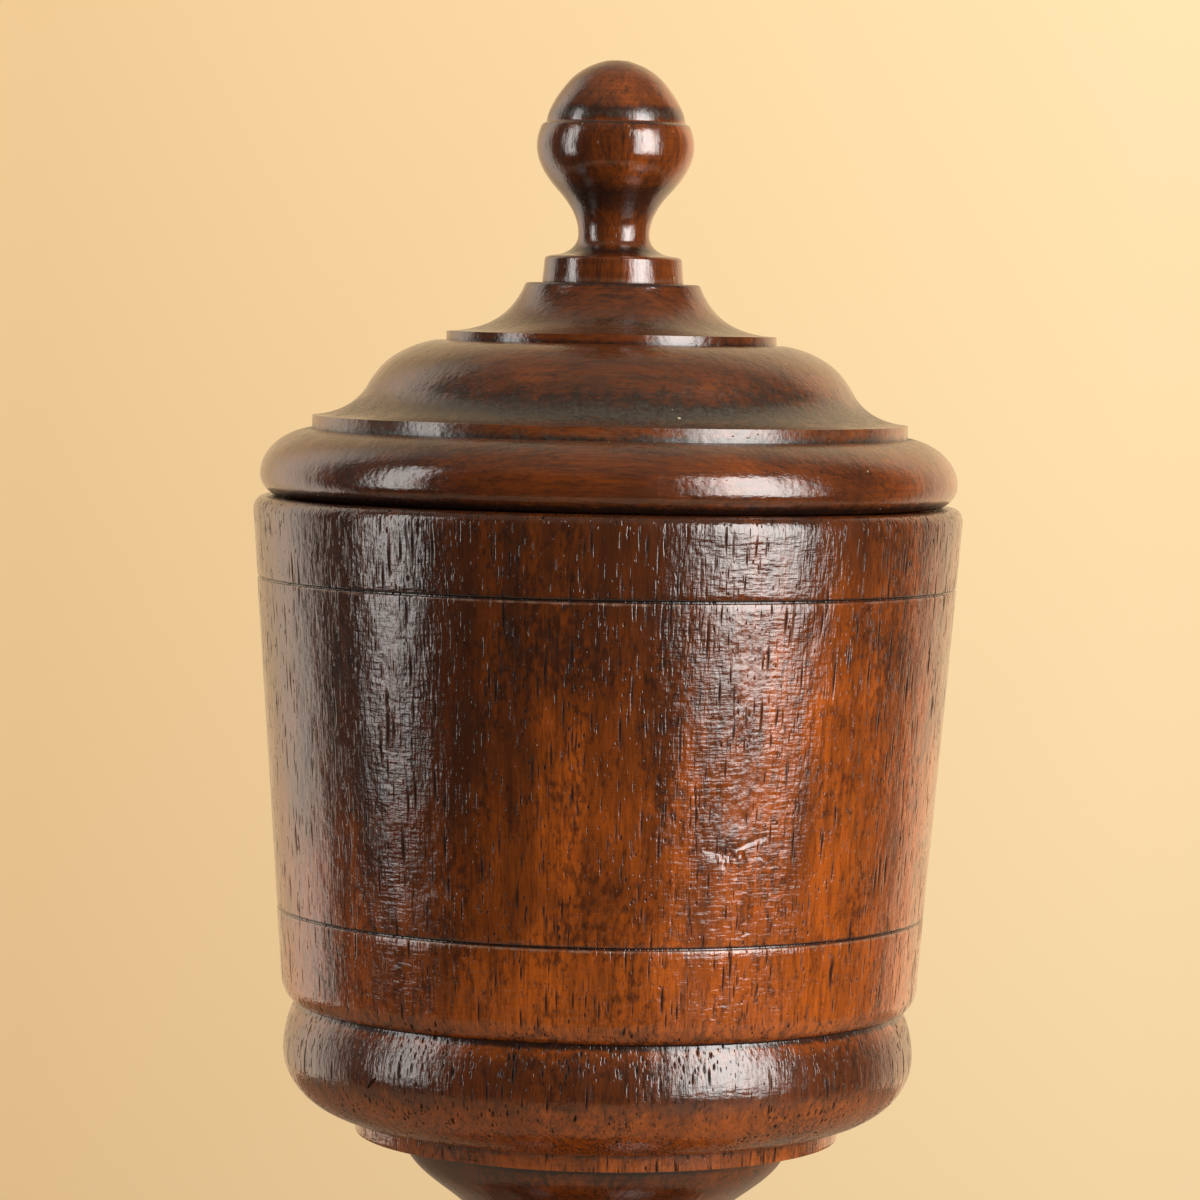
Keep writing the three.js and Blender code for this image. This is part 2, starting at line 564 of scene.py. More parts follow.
@dataclass(frozen=True)
class WoodFinish:
    """Old french-polished hardwood, with its grain, open pores, dirt and dust, and painted light: a lit
    and a shaded side, bands of painted shade, a painted sheen over the dust and painted highlights on
    lips.
    """

    name: str
    grain: Grain
    dark: Colour
    middle: Colour
    light: Colour
    gloss: float
    pores: tuple[Pores, ...]
    pore_depth: float
    ripple: float
    fibre: float
    lump: float
    # The shade fields set the stain's patches and a lean across the piece. The lean paints one side
    # lighter and the other darker: painted light and painted shade.
    shade_low: float
    shade_high: float
    shade_lean: Triple
    # Dirt in the quirks, and broad bands of painted shade.
    dirt: tuple[Ring, ...] = ()
    # Dust, and where it spreads wide a painted pale sheen.
    dust: tuple[Ring, ...] = ()
    # Painted highlights along lips.
    rubbed: tuple[Ring, ...] = ()
    spots: tuple[Spot, ...] = ()
    blotch: float = 0.6
    lathe: float = 0.3
    speck: float = 0.11
    specular: float = 0.5
    seed: float = 0.0
    # Dark colour for dirt, blotches and painted shade.
    soot: Colour = (0.0055, 0.0035, 0.003)
    pore_colour: Colour = (0.014, 0.0052, 0.0028)
    # Colour of the painted highlights.
    rub_colour: Colour = (0.16, 0.085, 0.052)
    # Colour of the dust and its painted sheen.
    dust_colour: Colour = (0.075, 0.071, 0.05)
    fleck_colour: Colour = (0.36, 0.3, 0.19)
    patch_pitch: float = 0.024
    patch_swing: float = 1.6
    patina_tone: float = 0.82
    band_tone: float = 0.4
    streak: float = 0.75
    thread: float = 0.65
    grain_cover: float = 0.85
    grain_fade: float = 0.3
    pore_stain: float = 0.85
    pore_dulling: float = 0.9
    pore_roughness: float = 0.6
    dirt_cover: float = 0.9
    dirt_roughness: float = 0.06
    dust_roughness: float = 0.4
    cloud_pitch: float = 0.09
    clouding: float = 0.14
    speck_spacing: float = 3.6
    speck_cover: float = 0.8
    refraction: float = 1.58

    def material(self) -> bpy.types.Material:
        """Builds the material.

        Returns:
            The new material.
        """
        made = bpy.data.materials.new(self.name)
        made.use_nodes = True
        made.node_tree.nodes.clear()
        graph = Graph(made.node_tree)
        skin = self.skin(graph)
        colour = self.wood(skin)
        colour = graph.blend(graph.times(skin.cores, self.pore_stain), colour, self.pore_colour)
        # Dirt in the quirks, and painted shade in broad bands.
        colour = graph.blend(graph.times(skin.dirt, self.dirt_cover), colour, self.soot)
        # Painted highlights along the lower lips of the scribed lines.
        colour = graph.blend(self.rings(graph, skin.place, self.rubbed), colour, self.rub_colour)
        # Dust, with a painted pale sheen where it spreads wide.
        colour = graph.blend(skin.grit, colour, self.dust_colour)
        # Polish doesn't fill an open pore. Its core is made metallic because a dark metal has no gloss.
        shader = graph.put(
            "BsdfPrincipled",
            {
                "Base Color": self.fleck(skin, colour),
                "Metallic": graph.times(skin.cores, self.pore_dulling),
                "Roughness": self.roughness(skin),
                "Normal": self.relief(skin),
            },
        )
        shader.inputs["IOR"].default_value = self.refraction
        shader.inputs["Specular IOR Level"].default_value = self.specular
        graph.put("OutputMaterial", {"Surface": shader.outputs[0]})
        return made

    def skin(self, graph: Graph) -> Skin:
        """Finds the place on the piece, and masks what lies in the polish and on it.

        Args:
            graph: The material's graph.

        Returns:
            The graph with its places and masks.
        """
        inputs = {0: graph.put("TexCoord").outputs["Object"], "Scale": 1 / MM}
        place = graph.put("VectorMath", inputs, operation="SCALE").outputs["Vector"]
        along = self.follow_grain(graph, place)
        hollows: object = 0.0
        cores: object = 0.0
        for layer in self.pores:
            marks = graph.group(OpenPores.tree(), {"Along": along, **sockets(layer)}).outputs
            hollows = graph.math("MAXIMUM", hollows, marks["Mask"])
            cores = graph.math("MAXIMUM", cores, marks["Core"])
        grains = graph.rise(graph.noise(place, 0.9, 4.0, Roughness=0.75), 0.25, 0.8)
        grit = graph.times(self.rings(graph, place, self.dust), grains)
        return Skin(graph, place, along, hollows, cores, self.rings(graph, place, self.dirt), grit)

    def fleck(self, skin: Skin, colour: Socket) -> Socket:
        """Lays the scattered specks and the single spots over a colour.

        Args:
            skin: The graph with its places and masks.
            colour: The colour under them.

        Returns:
            The colour with them.
        """
        graph = skin.graph
        inputs = {"Place": skin.place, "Spacing": self.speck_spacing, "Size": self.speck}
        specks = graph.group(DustSpecks.tree(), inputs).outputs["Mask"]
        colour = graph.blend(graph.times(specks, self.speck_cover), colour, self.fleck_colour)
        for spot in self.spots:
            inputs = {"Place": skin.place, **sockets(spot)}
            mask = graph.group(Fleck.tree(), inputs).outputs["Mask"]
            colour = graph.blend(mask, colour, self.fleck_colour)
        return colour

    def roughness(self, skin: Skin) -> Socket:
        """Clouds the polish, and dulls it in pores, in the dirt and painted shade, and under the dust
        and its painted sheen.

        Args:
            skin: The graph with its places and masks.

        Returns:
            The roughness socket.
        """
        graph = skin.graph
        cloud = graph.math("SUBTRACT", graph.noise(skin.place, self.cloud_pitch, 3.0), 0.5)
        rough = graph.math("MULTIPLY_ADD", cloud, self.clouding, self.gloss)
        rough = graph.math("MULTIPLY_ADD", skin.cores, self.pore_roughness, rough)
        rough = graph.math("MULTIPLY_ADD", skin.dirt, self.dirt_roughness, rough)
        return graph.math("MULTIPLY_ADD", skin.grit, self.dust_roughness, rough, clamp=True)

    def relief(self, skin: Skin) -> Socket:
        """Raises the skin of the polish and sinks the pores into it.

        Args:
            skin: The graph with its places and masks.

        Returns:
            The normal socket.
        """
        graph = skin.graph
        inputs = {
            "Place": skin.place,
            "Along": skin.along,
            "Ripple": self.ripple,
            "Fibre": self.fibre,
            "Lump": self.lump,
        }
        marks = graph.group(TurningMarks.tree(), inputs).outputs["Height"]
        height = graph.math("MULTIPLY_ADD", skin.hollows, -self.pore_depth, marks)
        return graph.put("Bump", {"Strength": 1.0, "Distance": MM, "Height": height}).outputs[0]

    def follow_grain(self, graph: Graph, place: Socket) -> Socket:
        """Turns the place so that its Z runs with the fibres.

        Args:
            graph: The material's graph.
            place: The place on the piece, in mm.

        Returns:
            The turned and offset place.
        """
        part = graph.put("SeparateXYZ", {0: place}).outputs
        order = (1, 2, 0) if self.grain is Grain.FLAT else (0, 1, 2)
        turned = graph.put("CombineXYZ", {slot: part[axis] for slot, axis in enumerate(order)})
        return graph.vector("ADD", turned.outputs[0], (self.seed, self.seed * 1.7, self.seed * 0.3))

    def rings(self, graph: Graph, place: Socket, rings: Sequence[Ring]) -> object:
        """Joins several rings into one mask.

        Args:
            graph: The material's graph.
            place: The place on the piece, in mm.
            rings: The rings.

        Returns:
            The strongest of them everywhere, or 0 where there are none.
        """
        total: object = 0.0
        for ring in rings:
            mask = graph.group(RingShade.tree(), {"Place": place, **sockets(ring)}).outputs["Mask"]
            total = graph.math("MAXIMUM", total, mask)
        return total

    def wood(self, skin: Skin) -> Socket:
        """Mixes the stained wood's colour, with painted light on its right side and painted shade on its
        left.

        Args:
            skin: The graph with its places and masks.

        Returns:
            The colour socket.
        """
        graph = skin.graph
        inputs = {"Along": skin.along, "Place": skin.place}
        figure = graph.group(WoodFigure.tree(), inputs).outputs
        # The lean paints the wood lighter towards the right and darker towards the left, as painted
        # light and painted shade, over the stain's own patches. On the bowl it also darkens the wood
        # towards the top.
        inputs = {0: skin.place, 1: self.shade_lean}
        lean = graph.put("VectorMath", inputs, operation="DOT_PRODUCT").outputs["Value"]
        patch = graph.noise(skin.place, self.patch_pitch, 3.0, Roughness=0.6)
        patina_and_side_light = graph.math("MULTIPLY_ADD", patch, self.patch_swing, lean)
        patina_and_side_light = graph.rise(patina_and_side_light, self.shade_low, self.shade_high)
        tone = graph.times(patina_and_side_light, self.patina_tone)
        tone = graph.math("MULTIPLY_ADD", figure["Bands"], self.band_tone, tone)
        colour = graph.blend(graph.rise(tone, 0.0, 0.6), self.dark, self.middle)
        colour = graph.blend(graph.rise(tone, 0.5, 1.2), colour, self.light)
        grain = graph.times(figure["Streaks"], self.streak)
        grain = graph.math("MULTIPLY_ADD", figure["Threads"], self.thread, grain)
        faded = graph.times(patina_and_side_light, self.grain_fade)
        grain = graph.times(grain, graph.math("SUBTRACT", self.grain_cover, faded))
        colour = graph.blend(grain, colour, self.dark)
        colour = graph.blend(graph.times(figure["Lines"], self.lathe), colour, self.dark)
        blots = graph.times(figure["Blotches"], self.blotch)
        return graph.blend(blots, colour, self.soot)


# ---------------------------------------------------------------- pieces


@dataclass
class Turned:
    """A piece turned between centres, which stands for one solid of the frame."""

    name: str
    node: str
    slot: str
    finish: WoodFinish
    sides: int
    hand: float = 0.22 * MM
    low: Vector = field(init=False)
    high: Vector = field(init=False)

    def __post_init__(self) -> None:
        """Takes the piece's place and size from the frame."""
        self.low, self.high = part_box(self.node)

    def outline(self) -> Outline:
        """Draws the piece's outline."""
        raise NotImplementedError

    def build(self) -> bpy.types.Object:
        """Turns, wears and dresses the piece and puts it in the frame.

        Returns:
            The finished object.
        """
        piece = self.outline().ease().turn(self.name, self.sides)
        self.unsettle(piece)
        self.wear(piece)
        self.dress(piece)
        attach(piece, BODY)
        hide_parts(self.node)
        triangles = sum(len(face.vertices) - 2 for face in piece.data.polygons)
        log.info("%s: %d triangles", self.name, triangles)
        return piece

    def unsettle(self, piece: bpy.types.Object) -> None:
        """Takes a little off the surface in soft waves, as hand tools and shrinkage do.

        Args:
            piece: The turned object.
        """
        waves = bpy.data.textures.new(self.name + "_waves", "CLOUDS")
        waves.noise_scale = 26 * MM
        waves.noise_depth = 1
        push = piece.modifiers.new("waves", "DISPLACE")
        push.texture = waves
        push.texture_coords = "LOCAL"
        push.mid_level = 1.0
        push.strength = self.hand
        self.apply(piece, push)

    def wear(self, piece: bpy.types.Object) -> None:
        """Cuts the piece's chips and nicks. Most pieces have none."""

    def dress(self, piece: bpy.types.Object) -> None:
        """Shades the piece smooth between its edges and gives it its finish.

        Args:
            piece: The shaped object.
        """
        self.choose(piece)
        bpy.ops.object.shade_smooth_by_angle(angle=SMOOTH_ANGLE)
        piece.data.materials.clear()
        piece.data.materials.append(self.finish.material())

    @staticmethod
    def choose(piece: bpy.types.Object) -> None:
        """Makes the piece the only selected and the active object."""
        bpy.ops.object.select_all(action="DESELECT")
        piece.select_set(True)
        bpy.context.view_layer.objects.active = piece

    @classmethod
    def apply(cls, piece: bpy.types.Object, modifier: bpy.types.Modifier) -> None:
        """Applies a modifier to the piece."""
        cls.choose(piece)
        bpy.ops.object.modifier_apply(modifier=modifier.name)


@dataclass
class Finial(Turned):
    """The acorn finial: a collar, a waisted neck, a knob and a cap set back from it."""

    collar_height: float = 6.2 * MM
    collar_radius: float = 16.6 * MM
    neck_foot_radius: float = 13 * MM
    neck_radius: float = 8.4 * MM
    neck_height: float = 11.2 * MM
    flare_radius: float = 13.2 * MM
    flare_height: float = 21.2 * MM
    knob_height: float = 31.8 * MM
    knob_top_radius: float = 17.3 * MM
    cap_seat: float = 37.2 * MM
    cap_radius: float = 16.3 * MM
    crown_radius: float = 11.4 * MM
    crown_height: float = 46.5 * MM
    tip_radius: float = 2.6 * MM

    def outline(self) -> Outline:
        """Draws the piece's outline."""
        seat, tip, knob = self.low.z, self.high.z, self.high.x
        top = seat + self.collar_height
        cap = seat + self.cap_seat
        return (
            Outline(0, seat - SEATING, pitch=0.45 * MM)
            .line(self.collar_radius - 0.2 * MM, seat - SEATING, 4 * MM)
            .line(self.collar_radius, seat)
            .line(self.collar_radius - 0.5 * MM, top - 0.5 * MM, 0.8 * MM)
            .line(self.collar_radius - 1.1 * MM, top)
            .line(self.neck_foot_radius, top + 0.4 * MM)
            .bend(self.neck_radius, seat + self.neck_height, 172, 90)
            .bend(self.flare_radius, seat + self.flare_height, 90, 47)
            .bend(knob, seat + self.knob_height, 47, 90)
            .bend(self.knob_top_radius, cap - 0.5 * MM, 90, 116)
            .line(self.cap_radius + 0.1 * MM, cap)
            .line(self.cap_radius, cap + 0.1 * MM)
            .bend(self.crown_radius, seat + self.crown_height, 99, 130)
            .bend(self.tip_radius, tip - 0.2 * MM, 130, 166)
            .line(0, tip)
        )


@dataclass
class Lid(Turned):
    """The lid: a flange inside the rim, a rounded edge, a cove, a dome and a hollow rise to the seat."""

    flange_radius: float = 72.6 * MM
    flange_wall: float = 10.6 * MM
    flange_depth: float = 6.4 * MM
    crown: float = 24.5 * MM
    shoulder_radius: float = 78 * MM
    edge_middle: float = 4.9 * MM
    edge_top: float = 15.8 * MM
    fillet_radius: float = 69.5 * MM
    fillet_foot: float = 15.2 * MM
    fillet_top: float = 18.8 * MM
    cove_radius: float = 57 * MM
    cove_height: float = 25.4 * MM
    dome_radius: float = 50.4 * MM
    dome_height: float = 33.1 * MM
    dome_top: float = 36.8 * MM
    dome_fillet_radius: float = 38.6 * MM
    dome_fillet_foot: float = 36.2 * MM
    dome_fillet_top: float = 38.9 * MM
    rise_radius: float = 27.5 * MM
    rise_height: float = 41.6 * MM
    top_radius: float = 20.5 * MM

    def outline(self) -> Outline:
        """Draws the piece's outline."""
        seat = self.low.z + self.flange_depth
        top = self.high.z
        hollow = self.flange_radius - self.flange_wall
        fillet, dome = self.fillet_radius, self.dome_fillet_radius
        return (
            Outline(0, top - self.crown)
            .bend(hollow, seat + 3 * MM, 0, -80)
            .line(hollow, self.low.z)
            .line(self.flange_radius - MM, self.low.z, 3 * MM)
            .line(self.flange_radius, self.low.z + MM)
            .line(self.flange_radius, seat)
            .line(self.shoulder_radius, seat, 2 * MM)
            .bend(self.high.x, seat + self.edge_middle, 30, 90)
            .bend(fillet + MM, seat + self.edge_top, 90, 168)
            .line(fillet, seat + self.fillet_foot)
            .line(fillet, seat + self.fillet_top, 0.9 * MM)
            .bend(self.cove_radius, seat + self.cove_height, 176, 121)
            .bend(self.dome_radius, seat + self.dome_height, 119, 148)
            .bend(dome + 2.2 * MM, seat + self.dome_top, 148, 171)
            .line(dome, seat + self.dome_fillet_foot)
            .line(dome, seat + self.dome_fillet_top, 0.9 * MM)
            .bend(self.rise_radius, seat + self.rise_height, 179, 150)
            .bend(self.top_radius, top - 0.4 * MM, 150, 112)
            .line(self.top_radius - 0.5 * MM, top)
            .line(0, top, 5 * MM)
        )


class Cutter(Enum):
    """The shapes that are pressed into the wood."""

    PEBBLE = "pebble"
    EDGE = "edge"


@dataclass(frozen=True)
class Gouge:
    """A cutter pressed into a piece's side: its place, half-size and lie, in metres and degrees."""

    shape: Cutter
    azimuth: float
    height: float
    radius: float
    size: Triple
    roll: float
    tip: float = 0.0
    swing: float = 0.0

    def cut(self, piece: bpy.types.Object) -> None:
        """Cuts its shape out of a piece.

        Args:
            piece: The object to cut.
        """
        bpy.ops.object.select_all(action="DESELECT")
        turn = math.radians(self.azimuth)
        centre = Vector((math.sin(turn), -math.cos(turn), 0)) * self.radius
        centre.z = self.height
        if self.shape is Cutter.EDGE:
            bpy.ops.mesh.primitive_cube_add(size=2.0, location=centre)
        else:
            bpy.ops.mesh.primitive_ico_sphere_add(subdivisions=2, radius=1.0, location=centre)
        cutter = bpy.context.object
        cutter.scale = self.size
        tilt = (math.radians(self.tip), math.radians(self.roll), turn + math.radians(self.swing))
        cutter.rotation_mode = "YXZ"
        cutter.rotation_euler = tilt
        bpy.ops.object.transform_apply(location=True, rotation=True, scale=True)
        carve = piece.modifiers.new("gouge", "BOOLEAN")
        carve.operation = "DIFFERENCE"
        carve.solver = "EXACT"
        carve.object = cutter
        Turned.apply(piece, carve)
        bpy.data.objects.remove(cutter)


@dataclass
class Bowl(Turned):
    """The bowl: a ring and a belly moulding under straight tapered sides, hollow, with a flat rim."""

    wall: float = 9.5 * MM
    floor: float = 17.4 * MM
    ring_radius: float = 57.2 * MM
    ring_height: float = 4.2 * MM
    belly_radius: float = 73.9 * MM
    belly_middle: float = 19.4 * MM
    belly_top: float = 30.7 * MM
    groove_radius: float = 71.2 * MM
    side_radius: float = 74.6 * MM
    side_round: float = 5.6 * MM
    rim_round: float = 3.6 * MM
    rim_lip: float = 2.4 * MM
    floor_round: float = 16 * MM
    scribed: tuple[float, ...] = mm(52.8, 129.6)
    scribe_width: float = 0.9 * MM
    scribe_depth: float = 0.5 * MM
    gouges: tuple[Gouge, ...] = ()

    def outline(self) -> Outline:
        """Draws the piece's outline."""
        foot, rim, widest = self.low.z, self.high.z, self.high.x
        ring_top = foot + self.ring_height
        junction = foot + self.belly_top
        side_foot, side_top = junction + self.side_round, rim - self.rim_round
        mouth, well = widest - self.wall, self.side_radius - self.wall
        outline = (
            Outline(0, foot)
            .line(self.ring_radius - 0.4 * MM, foot, 6 * MM)
            .line(self.ring_radius, ring_top, 0.9 * MM)
            .line(self.ring_radius + 1.6 * MM, ring_top - 0.2 * MM)
            .bend(self.belly_radius, foot + self.belly_middle, 12, 90)
            .bend(self.groove_radius, junction, 90, 116)
            .bend(self.side_radius, side_foot, 18, 87)
        )
        for height in self.scribed:
            share = (foot + height - side_foot) / (side_top - side_foot)
            radius = self.side_radius + (widest - self.side_radius) * share
            outline.scribe(radius, foot + height, self.scribe_width, self.scribe_depth)
        return (
            outline.line(widest, side_top)
            .bend(widest - self.rim_lip, rim, 88, 172)
            .line(mouth + MM, rim)
            .line(mouth, rim - MM)
            .line(well, junction + 4 * MM, 4 * MM)
            .bend(well - self.floor_round, foot + self.floor, 268, 180)
            .line(0, foot + self.floor, 6 * MM)
        )

    def wear(self, piece: bpy.types.Object) -> None:
        """Cuts the dent in the side and the nick in the belly."""
        for gouge in self.gouges:
            gouge.cut(piece)


@dataclass
class Foot(Turned):
    """The foot: a rounded base, a hollow rise to the waist with its bead, and the cup under the bowl."""

    waist_radius: float = 20 * MM
    cup_radius: float = 46.6 * MM
    cup_foot: float = 79.8 * MM
    cup_foot_radius: float = 34 * MM
    base_round: float = 6 * MM
    base_top: float = 13 * MM
    bead_foot: float = 50 * MM
    bead_top: float = 57 * MM

    def outline(self) -> Outline:
        """Draws the piece's outline."""
        base, top, waist = self.high.x, self.high.z, self.waist_radius
        middle = (self.bead_foot + self.bead_top) / 2
        return (
            Outline(0, 0, pitch=0.8 * MM)
            .line(base - 4 * MM, 0, 6 * MM)
            .bend(base, self.base_round, 20, 90)
            .bend(base - 4 * MM, self.base_top, 90, 170)
            .line(base - 6 * MM, self.base_top)
            .line(base - 6 * MM, self.base_top + 3 * MM)
            .bend(waist + MM, self.bead_foot, 176, 96)
            .line(waist + 2 * MM, self.bead_foot)
            .bend(waist + 4 * MM, middle, 10, 90)
            .bend(waist + 2 * MM, self.bead_top, 90, 170)
            .line(waist, self.bead_top)
            .bend(self.cup_foot_radius, self.cup_foot, 86, 38)
            .bend(self.cup_radius - MM, top - 2.1 * MM, 38, 74)
            .line(self.cup_radius, top - 2.1 * MM)
            .line(self.cup_radius, top)
            .line(self.cup_radius - 2 * MM, top + SEATING)
            .line(0, top + SEATING, 6 * MM)
        )


# ---------------------------------------------------------------- studio


@dataclass(frozen=True)
class Softbox:
    """A tall softbox, brightest in its middle: its bearing, distance, size and brightness.

    Its brightness drops to the edge share over the falls, which are parts of its width and height.
    """

    name: str
    azimuth: float
    width: float
    foot: float
    head: float
    radiance: float
    distance: float = 0.8
    edge: float = 0.3
    falls: tuple[float, float] = (0.4, 0.14)
    colour: Colour = (1.0, 0.97, 0.94)

    def place(self) -> None:
        """Adds the light, facing the axis."""
        lamp = bpy.data.lights.new(self.name, "AREA")
        lamp.shape = "RECTANGLE"
        lamp.size = self.width
        lamp.size_y = self.head - self.foot
        lamp.energy = self.radiance * math.pi * lamp.size * lamp.size_y
        lamp.color = self.colour
        lamp.use_nodes = True
        self.soften(Graph(lamp.node_tree))
        turn = math.radians(self.azimuth)
        light = bpy.data.objects.new(self.name, lamp)
        light.location = (
            math.sin(turn) * self.distance,
            -math.cos(turn) * self.distance,
            (self.head + self.foot) / 2,
        )
        light.rotation_euler = (math.radians(90), 0, turn)
        light.visible_camera = False
        bpy.context.scene.collection.objects.link(light)

    def soften(self, graph: Graph) -> None:
        """Lets the sheet's brightness fall towards its edges.

        Args:
            graph: The light's own graph.
        """
        sheet = graph.put("SeparateXYZ", {0: graph.put("NewGeometry").outputs["Parametric"]}).outputs
        share: object = 1.0
        for across, fall in zip(sheet, self.falls):
            near = graph.rise(across, 0.0, fall)
            far = graph.rise(graph.math("SUBTRACT", 1.0, across), 0.0, fall)
            share = graph.times(share, graph.times(near, far))
        share = graph.math("MULTIPLY_ADD", share, 1 - self.edge, self.edge)
        graph.feed(graph.tree.nodes["Emission"].inputs["Strength"], share)


@dataclass(frozen=True)
class Studio:
    """The plain pale floor, the warm surroundings and the softboxes."""

    boxes: tuple[Softbox, ...]
    floor_radius: float = 0.4
    floor_thickness: float = 0.012
    floor_mottle: float = 60.0
    floor_colour: Colour = (0.36, 0.29, 0.21)
    # The board seen behind is painted with its light: darker to the left and lower down.
    backdrop_left: Colour = (0.815, 0.553, 0.28)
    backdrop_right: Colour = (0.985, 0.73, 0.41)
    backdrop_gain: float = 1.048
    backdrop_rise: float = 0.8
    backdrop_middle: float = 0.52
    backdrop_turn: float = 4.5
    ceiling: Colour = (0.11, 0.11, 0.095)
    surround_gain: float = 3.0
    surround: tuple[tuple[float, Colour], ...] = (
        (-180, (0.32, 0.235, 0.135)),
        (-150, (0.4, 0.27, 0.155)),
        (-140, (0.6, 0.44, 0.31)),
        (-123, (0.8, 0.67, 0.56)),
        (-114, (0.62, 0.54, 0.47)),
        (-107, (0.06, 0.052, 0.046)),
        (-80, (0.013, 0.012, 0.011)),
        (80, (0.013, 0.012, 0.011)),
        (114, (0.06, 0.045, 0.035)),
        (124, (0.3, 0.2, 0.14)),
        (136, (0.6, 0.42, 0.28)),
        (152, (0.53, 0.37, 0.22)),
        (180, (0.32, 0.235, 0.135)),
    )

    def build(self) -> None:
        """Adds the floor, the lights and the world."""
        self.floor()
        self.world()
        for box in self.boxes:
            box.place()

    def floor(self) -> None:
        """Adds a round pale table top, with its upper face at the urn's foot."""
        bpy.ops.object.select_all(action="DESELECT")
        deep = self.floor_thickness
        bpy.ops.mesh.primitive_cylinder_add(
            vertices=128, radius=self.floor_radius, depth=deep, location=(0, 0, -deep / 2)
        )
        floor = bpy.context.object
        floor.name = floor.data.name = "floor"
        bpy.ops.object.transform_apply(location=True)
        made = bpy.data.materials.new("pale_floor")
        made.use_nodes = True
        graph = Graph(made.node_tree)
        shader = made.node_tree.nodes["Principled BSDF"]
        place = graph.put("TexCoord").outputs["Object"]
        mottle = graph.rise(graph.noise(place, self.floor_mottle, 4.0), 0.3, 0.7)
        paler = tuple(part * 1.06 for part in self.floor_colour)
        graph.feed(shader.inputs["Base Color"], graph.blend(mottle, self.floor_colour, paler))
        shader.inputs["Roughness"].default_value = 0.7
        floor.data.materials.append(made)

    def world(self) -> None:
        """Lights the room: a warm board behind, paler at its sides, and a dim room in front."""
        world = bpy.data.worlds.new("studio")
        bpy.context.scene.world = world
        world.use_nodes = True
        world.node_tree.nodes.clear()
        graph = Graph(world.node_tree)
        way = graph.put("TexCoord").outputs["Generated"]
        part = graph.put("SeparateXYZ", {0: way}).outputs
        bearing = graph.math("ARCTAN2", part[0], graph.times(part[1], -1.0))
        share = graph.math("MULTIPLY_ADD", bearing, 1 / math.tau, 0.5)
        ramp = graph.put("ValToRGB", {0: share})
        stops = ramp.color_ramp.elements
        while len(stops) < len(self.surround):
            stops.new(0.5)
        for stop, (azimuth, colour) in zip(stops, self.surround):
            stop.position = (azimuth + 180) / 360
            stop.color = rgba(colour)
        ceiling = graph.rise(part[2], 0.5, 0.95)
        around = graph.blend(ceiling, ramp.outputs[0], self.ceiling)
        room = graph.put("Background", {"Color": around, "Strength": self.surround_gain})
        # The board is painted with its light, darker to the left and lower down.
        slope = graph.math("MULTIPLY_ADD", part[2], self.backdrop_rise, self.backdrop_gain)
        turn, middle = self.backdrop_turn, self.backdrop_middle
        across = graph.math("MULTIPLY_ADD", part[0], turn, middle, clamp=True)
        board = graph.blend(across, self.backdrop_left, self.backdrop_right)
        plain = graph.put("Background", {"Color": board, "Strength": slope})
        seen = graph.put("LightPath").outputs["Is Camera Ray"]
        mixed = graph.put("MixShader", {0: seen, 1: room.outputs[0], 2: plain.outputs[0]})
        graph.put("OutputWorld", {"Surface": mixed.outputs[0]})


@dataclass(frozen=True)
class Viewpoint:
    """The camera: far off, a little above the bowl, and held slightly askew."""

    distance: float = 1.141
    eye: float = 0.287
    aim: float = 0.2192
    aside: float = -0.0015
    lens: float = 146.6
    roll: float = 1.15

    def build(self) -> None:
        """Adds the camera and makes it the scene's."""
        data = bpy.data.cameras.new("view")
        data.lens = self.lens
        data.sensor_width = 36.0
        camera = bpy.data.objects.new("view", data)
        stand = Vector((0, -self.distance, self.eye))
        ahead = Vector((self.aside, 0, self.aim)) - stand
        turn = ahead.to_track_quat("-Z", "Y").to_matrix().to_4x4()
        camera.matrix_world = turn
        camera.rotation_euler.rotate_axis("Z", math.radians(self.roll))
        camera.location = stand
        bpy.context.scene.collection.objects.link(camera)
        bpy.context.scene.camera = camera


# ---------------------------------------------------------------- the urn


BOWL_FINISH = WoodFinish(
    name="bowl_wood",
    grain=Grain.UPRIGHT,
    dark=(0.03, 0.0085, 0.003),
    middle=(0.1, 0.022, 0.0028),
    light=(0.26, 0.056, 0.0055),
    gloss=0.15,
    pores=(Pores(0.8, 13.0, 0.38), Pores(1.2, 3.0, 0.28), Pores(1.35, 24.0, 0.42)),
    pore_depth=0.05,
    ripple=0.09,
    fibre=0.075,
    lump=0.085,
    speck=0.07,
    specular=0.42,
    lathe=0.08,
    shade_low=-1.43,
    shade_high=-0.4,
    # Painted light towards the right, painted shade towards the left, and darker towards the top.
    shade_lean=(0.0039, 0.0, -0.0092),
    dirt=(
        Ring(71.2, 124.8, 1.8),
        Ring(58.0, 98.2, 1.6),
        Ring(75.5, 147.0, 0.72),
        Ring(81.4, 223.8, 0.72),
        # Painted shade over the belly's upper half under the overhanging side, with dirt.
        Ring(73.5, 116.5, 10.5, 0.8, 0.3),
    ),
    # Painted highlights along the lower lips of the scribed lines.
    rubbed=(Ring(75.9, 146.4, 0.45, 0.7, 0.9), Ring(81.8, 223.2, 0.45, 0.7, 0.9)),
)

